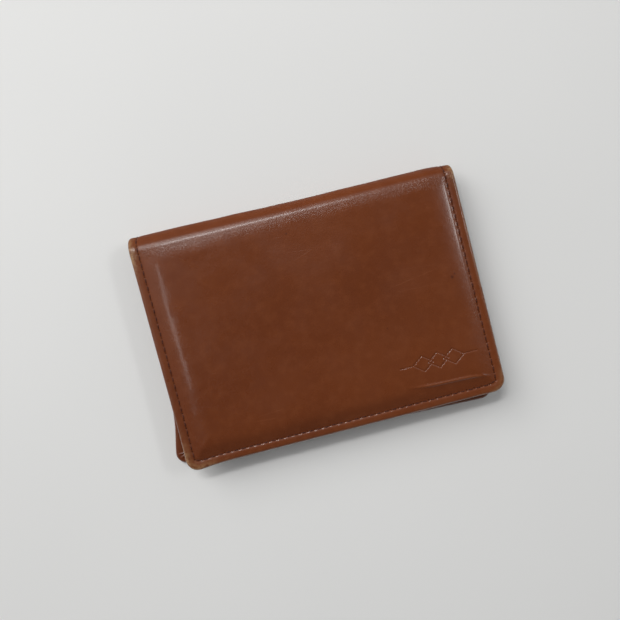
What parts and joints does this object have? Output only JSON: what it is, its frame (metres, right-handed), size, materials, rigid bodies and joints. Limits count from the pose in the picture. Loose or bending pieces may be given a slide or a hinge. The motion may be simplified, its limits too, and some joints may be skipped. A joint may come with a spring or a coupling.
{
  "type": "business card case",
  "caption": "Folding leather business card case, shown closed, with a padded stitched flap, a gusseted card pocket and flat slip pockets inside.",
  "frame": {"origin": "under the middle of the closed case, on the surface that it lies on", "axes": "+X along the fold, +Y from the free edge towards the fold, +Z out of the padded flap"},
  "size_m": [0.1126, 0.0812, 0.0116],
  "materials": {
    "cover_leather": "smooth glazed brown leather with soft gloss, fine scratches and worn edges",
    "inner_leather": "smooth brown leather, satin",
    "lining": "fine woven brown lining cloth",
    "board": "matte pressed fibre board",
    "padding": "thin felt wadding",
    "tape": "woven reinforcing tape",
    "thread": "dark reddish brown bonded thread"
  },
  "bodies": {
    "back": {"cover_back": "cover_leather", "back_stiffener": "board", "back_lining": "lining", "back_edge_stitching": "thread", "gusset_left": "inner_leather", "gusset_right": "inner_leather"},
    "spine": {"cover_spine": "cover_leather", "spine_tape": "tape", "spine_lining": "lining", "spine_edge_stitching": "thread"},
    "flap": {"cover_flap": "cover_leather", "flap_padding": "padding", "flap_stiffener": "board", "flap_lining": "lining", "flap_edge_stitching": "thread", "flap_slip_pocket": "inner_leather", "flap_slip_stitching": "thread"},
    "pocket": {"pocket_front": "inner_leather", "pocket_front_lining": "lining", "card_slot": "inner_leather", "card_slot_stitching": "thread", "gusset_left_stitching": "thread", "gusset_right_stitching": "thread"}
  },
  "joints": [
    {"name": "spine_fold", "type": "hinge", "parent": "back", "child": "spine", "pos_m": [0, 0.03943, 0.00115], "axis": [-1, 0, 0], "range_deg": [0, 90]},
    {"name": "flap_fold", "type": "hinge", "parent": "spine", "child": "flap", "pos_m": [0, 0.03943, 0.00955], "axis": [-1, 0, 0], "range_deg": [0, 90]},
    {"name": "pocket_lean", "type": "hinge", "parent": "back", "child": "pocket", "pos_m": [-0.00137, -0.03621, 0.0023], "axis": [0.9998, -0.0192, 0], "range_deg": [0, 6], "deforming": ["gusset_left", "gusset_right"]}
  ],
  "couplings": [
    {"joint": "flap_fold", "follows": "spine_fold", "ratio": 1},
    {"joint": "pocket_lean", "follows": "spine_fold", "ratio": 0.066667}
  ]
}
